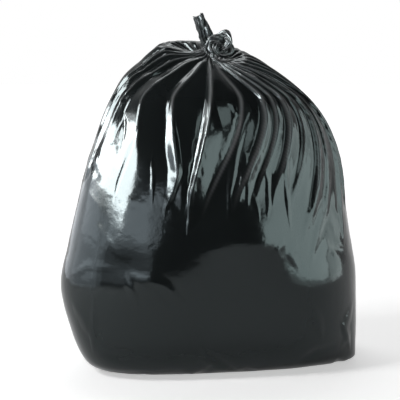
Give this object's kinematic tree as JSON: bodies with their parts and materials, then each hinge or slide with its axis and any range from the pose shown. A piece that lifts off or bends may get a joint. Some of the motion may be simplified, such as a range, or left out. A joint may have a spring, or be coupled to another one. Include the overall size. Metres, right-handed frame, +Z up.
{
  "type": "tied refuse sack",
  "caption": "Filled black plastic refuse sack, gathered at the neck and tied shut with an overhand knot, with a short crumpled tail; it stands on its own base.",
  "frame": {"origin": "middle of the sack's bounding box, at the floor that its base rests on", "axes": "+Z up towards the knot, +X to the right of the face that is shown, +Y away from it"},
  "size_m": [0.5472, 0.3683, 0.6428],
  "materials": {
    "film": "glossy black polythene film, thin and finely creased, with soft gathers towards the neck"
  },
  "bodies": {
    "root": {"tied_sack": "film"}
  },
  "joints": []
}
